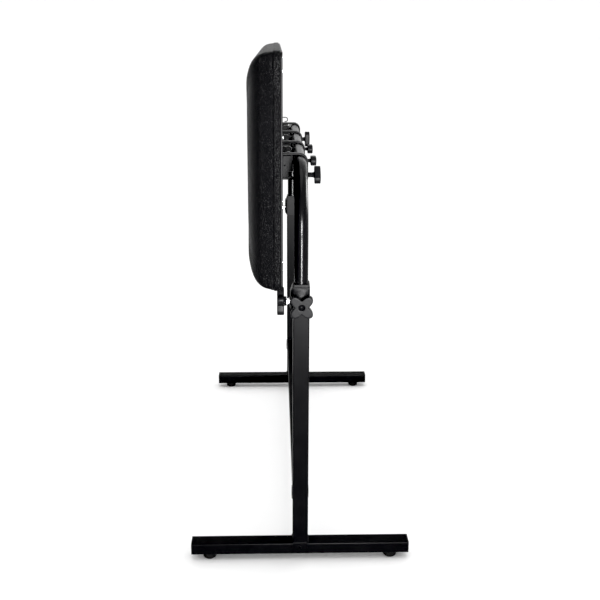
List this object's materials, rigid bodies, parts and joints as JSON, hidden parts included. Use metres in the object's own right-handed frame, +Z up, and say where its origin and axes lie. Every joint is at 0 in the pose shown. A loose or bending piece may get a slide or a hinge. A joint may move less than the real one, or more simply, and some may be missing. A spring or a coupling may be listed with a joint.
{
  "type": "height-adjustable padded board stand",
  "caption": "Free-standing frame with two low feet, telescoping posts and a round cross bar that holds a tilting padded board by strap clamps with T-knobs.",
  "frame": {"origin": "point on the floor midway between the two feet, below the cross bar's middle", "axes": "+X along the cross bar to the right end as seen from the padded front, +Y to the rear where the T-knobs are, +Z up"},
  "size_m": [1.222, 0.544, 1.2315],
  "materials": {
    "powder_coat": "satin",
    "gloss_tube": "gloss",
    "black_plastic": "satin",
    "rubber": "matte",
    "zinc": "satin",
    "vinyl": "satin",
    "plywood": "matte"
  },
  "bodies": {
    "base": {"right_foot": "powder_coat", "right_foot_saddle": "powder_coat", "right_saddle_screw": "powder_coat", "right_post": "powder_coat", "right_post_collar": "black_plastic", "right_guide_bush": "black_plastic", "right_foot_front_cap": "black_plastic", "right_front_glide": "rubber", "right_foot_rear_cap": "black_plastic", "right_rear_glide": "rubber", "right_side_lock_nut": "zinc", "right_front_lock_nut": "zinc", "left_foot": "powder_coat", "left_foot_saddle": "powder_coat", "left_saddle_screw": "powder_coat", "left_post": "powder_coat", "left_post_collar": "black_plastic", "left_guide_bush": "black_plastic", "left_foot_front_cap": "black_plastic", "left_front_glide": "rubber", "left_foot_rear_cap": "black_plastic", "left_rear_glide": "rubber", "left_side_lock_nut": "zinc", "left_front_lock_nut": "zinc", "stretcher_beam": "powder_coat"},
    "right_side_knob_unit": {"right_side_knob": "black_plastic", "right_side_stud": "zinc"},
    "right_front_knob_unit": {"right_front_knob": "black_plastic", "right_front_stud": "zinc"},
    "left_side_knob_unit": {"left_side_knob": "black_plastic", "left_side_stud": "zinc"},
    "left_front_knob_unit": {"left_front_knob": "black_plastic", "left_front_stud": "zinc"},
    "hoop": {"cross_bar": "gloss_tube", "right_leg": "gloss_tube", "left_leg": "gloss_tube"},
    "pad": {"pad_back_panel": "black_plastic", "pad_core_board": "plywood", "pad_cushion": "vinyl", "clamp_bracket_1": "powder_coat", "clamp_strap_1": "powder_coat", "wire_hook_1": "gloss_tube", "clamp_bracket_2": "powder_coat", "clamp_strap_2": "powder_coat", "wire_hook_2": "gloss_tube", "clamp_bracket_3": "powder_coat", "clamp_strap_3": "powder_coat", "wire_hook_3": "gloss_tube", "clamp_bracket_4": "powder_coat", "clamp_strap_4": "powder_coat", "wire_hook_4": "gloss_tube"},
    "t_knob_unit_1": {"t_knob_1": "black_plastic", "t_screw_1": "zinc"},
    "t_knob_unit_2": {"t_knob_2": "black_plastic", "t_screw_2": "zinc"},
    "t_knob_unit_3": {"t_knob_3": "black_plastic", "t_screw_3": "zinc"},
    "t_knob_unit_4": {"t_knob_4": "black_plastic", "t_screw_4": "zinc"}
  },
  "joints": [
    {"name": "height_slide", "type": "slide", "parent": "base", "child": "hoop", "axis": [0, 0, 1], "range_m": [0, 0.215]},
    {"name": "pad_tilt", "type": "hinge", "parent": "hoop", "child": "pad", "pos_m": [0, 0, 0.966], "axis": [1, 0, 0], "range_deg": [-90, 1]},
    {"name": "right_side_knob_turn", "type": "hinge", "parent": "base", "child": "right_side_knob_unit", "pos_m": [0.55, 0, 0.6737], "axis": [1, 0, 0], "continuous": true},
    {"name": "right_front_knob_turn", "type": "hinge", "parent": "base", "child": "right_front_knob_unit", "pos_m": [0.55, 0, 0.6737], "axis": [0, -1, 0], "continuous": true},
    {"name": "left_side_knob_turn", "type": "hinge", "parent": "base", "child": "left_side_knob_unit", "pos_m": [-0.55, 0, 0.6737], "axis": [-1, 0, 0], "continuous": true},
    {"name": "left_front_knob_turn", "type": "hinge", "parent": "base", "child": "left_front_knob_unit", "pos_m": [-0.55, 0, 0.6737], "axis": [0, -1, 0], "continuous": true},
    {"name": "t_knob_turn_1", "type": "hinge", "parent": "pad", "child": "t_knob_unit_1", "pos_m": [-0.36, 0, 0.9343], "axis": [0, 1, 0], "continuous": true},
    {"name": "t_knob_turn_2", "type": "hinge", "parent": "pad", "child": "t_knob_unit_2", "pos_m": [-0.12, 0, 0.9343], "axis": [0, 1, 0], "continuous": true},
    {"name": "t_knob_turn_3", "type": "hinge", "parent": "pad", "child": "t_knob_unit_3", "pos_m": [0.12, 0, 0.9343], "axis": [0, 1, 0], "continuous": true},
    {"name": "t_knob_turn_4", "type": "hinge", "parent": "pad", "child": "t_knob_unit_4", "pos_m": [0.36, 0, 0.9343], "axis": [0, 1, 0], "continuous": true}
  ]
}
